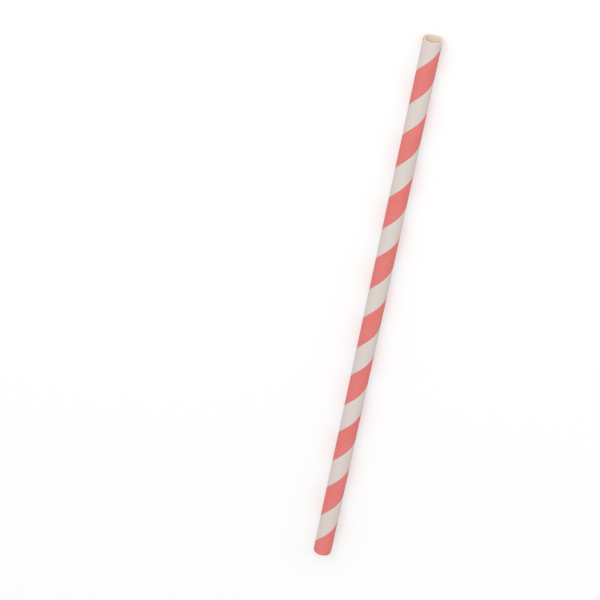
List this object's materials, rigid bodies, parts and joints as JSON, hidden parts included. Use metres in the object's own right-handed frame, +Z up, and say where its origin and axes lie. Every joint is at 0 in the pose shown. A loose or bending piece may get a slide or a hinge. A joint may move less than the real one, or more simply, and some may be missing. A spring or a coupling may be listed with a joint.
{
  "type": "paper drinking straw",
  "caption": "Straight paper drinking straw: a thin spiral-wound tube with coral and white stripes, square-cut and open at both ends.",
  "frame": {"origin": "on the surface that the straw lies on, under the middle of its length", "axes": "+X along the straw towards its mouth, +Z up, the straw lying on its side"},
  "size_m": [0.197, 0.006, 0.0059],
  "materials": {
    "paper": "matte"
  },
  "bodies": {
    "root": {"straw": "paper"}
  },
  "joints": []
}
